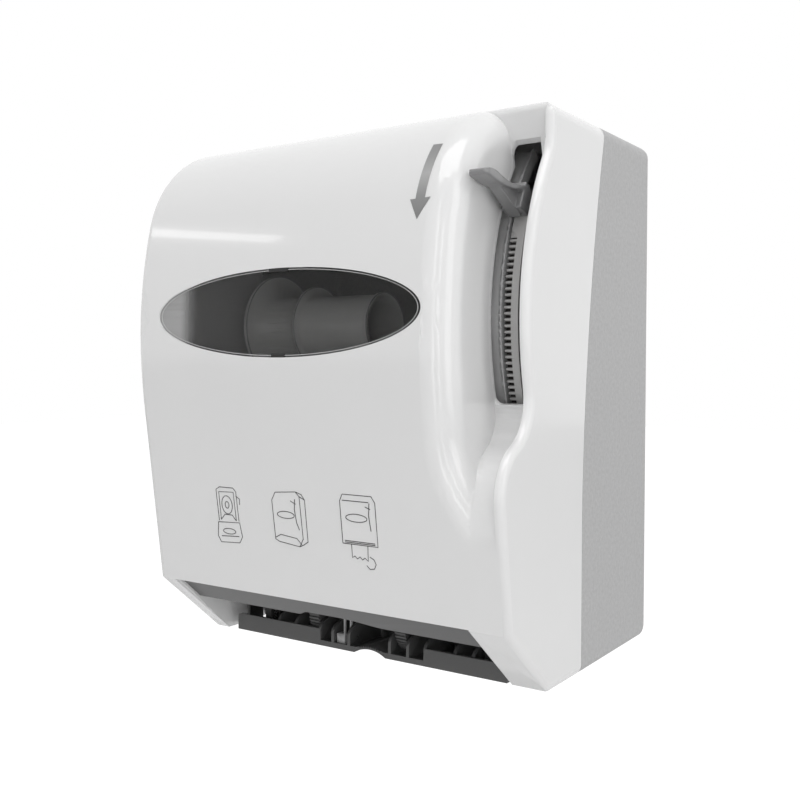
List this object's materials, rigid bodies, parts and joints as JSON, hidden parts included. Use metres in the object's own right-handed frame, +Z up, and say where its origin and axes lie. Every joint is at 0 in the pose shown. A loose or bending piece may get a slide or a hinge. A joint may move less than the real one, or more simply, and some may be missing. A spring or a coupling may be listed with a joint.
{
  "type": "lever paper towel dispenser",
  "caption": "Wall-mounted paper towel dispenser with a side lever, geared feed roller, smoked window, hinged locking cover and open lower exit.",
  "frame": {"origin": "middle of the four wall screw holes, on the rear face that lies against the wall", "axes": "+X to the right of someone facing the front, -Y out of the wall towards that person, +Z up"},
  "size_m": [0.3, 0.243, 0.375],
  "materials": {
    "cover_white": "glossy white moulded plastic",
    "case_grey": "fine grained grey plastic",
    "smoked_window": "smoked translucent plastic, glossy",
    "drive_grey": "satin grey moulded plastic",
    "lever_grey": "satin grey plastic",
    "chassis_grey": "dark grey moulded plastic",
    "plate_steel": "zinc plated sheet steel",
    "lip_grey": "satin grey plastic",
    "holder_plastic": "satin grey plastic",
    "steel": "bright drawn steel",
    "spring_steel": "spring wire",
    "roller_rubber": "matt black rubber",
    "lock_chrome": "plated, polished",
    "zinc": "zinc plated steel"
  },
  "bodies": {
    "root": {"rear_case": "case_grey", "inner_drive_plate": "plate_steel", "outer_drive_plate": "plate_steel", "left_side_plate": "case_grey", "lever_guide": "drive_grey", "lever_pivot_pin": "steel", "lever_spring": "spring_steel", "pinion_axle": "steel", "idler_axle": "steel", "feed_bushes": "chassis_grey", "exit_frame": "chassis_grey", "stripper_fingers": "holder_plastic", "front_lip": "lip_grey", "tear_blade": "steel", "right_hub_axle": "chassis_grey", "roll_arm_pin": "steel", "roll_arm_spring": "spring_steel", "frame_screws": "steel", "retaining_clips": "steel", "pinch_springs": "spring_steel", "hinge_pins": "steel", "lock_keeper": "zinc"},
    "lever": {"sector_gear": "drive_grey", "lever_handle": "lever_grey"},
    "pinion": {"drive_pinion": "drive_grey"},
    "idler": {"idler_gear": "drive_grey"},
    "feed": {"roller_gear": "drive_grey", "feed_shaft": "steel", "feed_roller_core": "lip_grey", "feed_roller_sleeves": "roller_rubber"},
    "pinch_carrier": {"pinch_axle": "steel"},
    "pinch_rollers": {"pinch_wheels": "chassis_grey"},
    "left_arm": {"roll_arm": "holder_plastic"},
    "left_holder": {"left_hub": "holder_plastic"},
    "right_holder": {"right_hub": "holder_plastic"},
    "cover": {"front_cover": "cover_white", "window_lens": "smoked_window", "lock_housing": "lock_chrome"},
    "lock": {"lock_plug": "lock_chrome", "lock_cam": "zinc"}
  },
  "joints": [
    {"name": "lever_swing", "type": "hinge", "parent": "root", "child": "lever", "pos_m": [0.127, -0.013, 0.0495], "axis": [1, 0, 0], "range_deg": [0, 38], "stiffness_Nm_per_rad": 0.6, "springref_deg": -28.65, "deforming": ["lever_spring"]},
    {"name": "pinion_spin", "type": "hinge", "parent": "root", "child": "pinion", "pos_m": [0.118, -0.15912, -0.04906], "axis": [1, 0, 0], "range_deg": [-729, 0]},
    {"name": "idler_spin", "type": "hinge", "parent": "root", "child": "idler", "pos_m": [0.1125, -0.14707, -0.0872], "axis": [1, 0, 0], "range_deg": [0, 332]},
    {"name": "roller_spin", "type": "hinge", "parent": "root", "child": "feed", "pos_m": [0, -0.16, -0.1355], "axis": [1, 0, 0], "range_deg": [-406, 0]},
    {"name": "pinch_lift", "type": "slide", "parent": "root", "child": "pinch_carrier", "axis": [0, 0, -1], "range_m": [0, 0.001], "stiffness_N_per_m": 800, "springref_m": -0.002, "deforming": ["pinch_springs"]},
    {"name": "pinch_spin", "type": "hinge", "parent": "pinch_carrier", "child": "pinch_rollers", "pos_m": [0, -0.1475, -0.16636], "axis": [1, 0, 0], "range_deg": [0, 382]},
    {"name": "left_arm_swing", "type": "hinge", "parent": "root", "child": "left_arm", "pos_m": [-0.1225, -0.009, 0.0505], "axis": [0, 0, -1], "range_deg": [0, 8], "stiffness_Nm_per_rad": 2, "springref_deg": -6.88, "deforming": ["roll_arm_spring"]},
    {"name": "left_hub_spin", "type": "hinge", "parent": "left_arm", "child": "left_holder", "pos_m": [-0.065, -0.12, 0.0505], "axis": [1, 0, 0], "continuous": true},
    {"name": "right_hub_spin", "type": "hinge", "parent": "root", "child": "right_holder", "pos_m": [0.08, -0.12, 0.0505], "axis": [1, 0, 0], "continuous": true},
    {"name": "cover_open", "type": "hinge", "parent": "root", "child": "cover", "pos_m": [0, -0.1275, -0.1806], "axis": [1, 0, 0], "range_deg": [0, 90]},
    {"name": "lock_turn", "type": "hinge", "parent": "cover", "child": "lock", "pos_m": [-0.017, -0.116, 0.1775], "axis": [0, 0, 1], "range_deg": [0, 90]}
  ],
  "couplings": [
    {"joint": "pinion_spin", "follows": "lever_swing", "ratio": -19.143},
    {"joint": "idler_spin", "follows": "lever_swing", "ratio": 8.7013},
    {"joint": "roller_spin", "follows": "lever_swing", "ratio": -10.635},
    {"joint": "pinch_spin", "follows": "lever_swing", "ratio": 10.009}
  ]
}
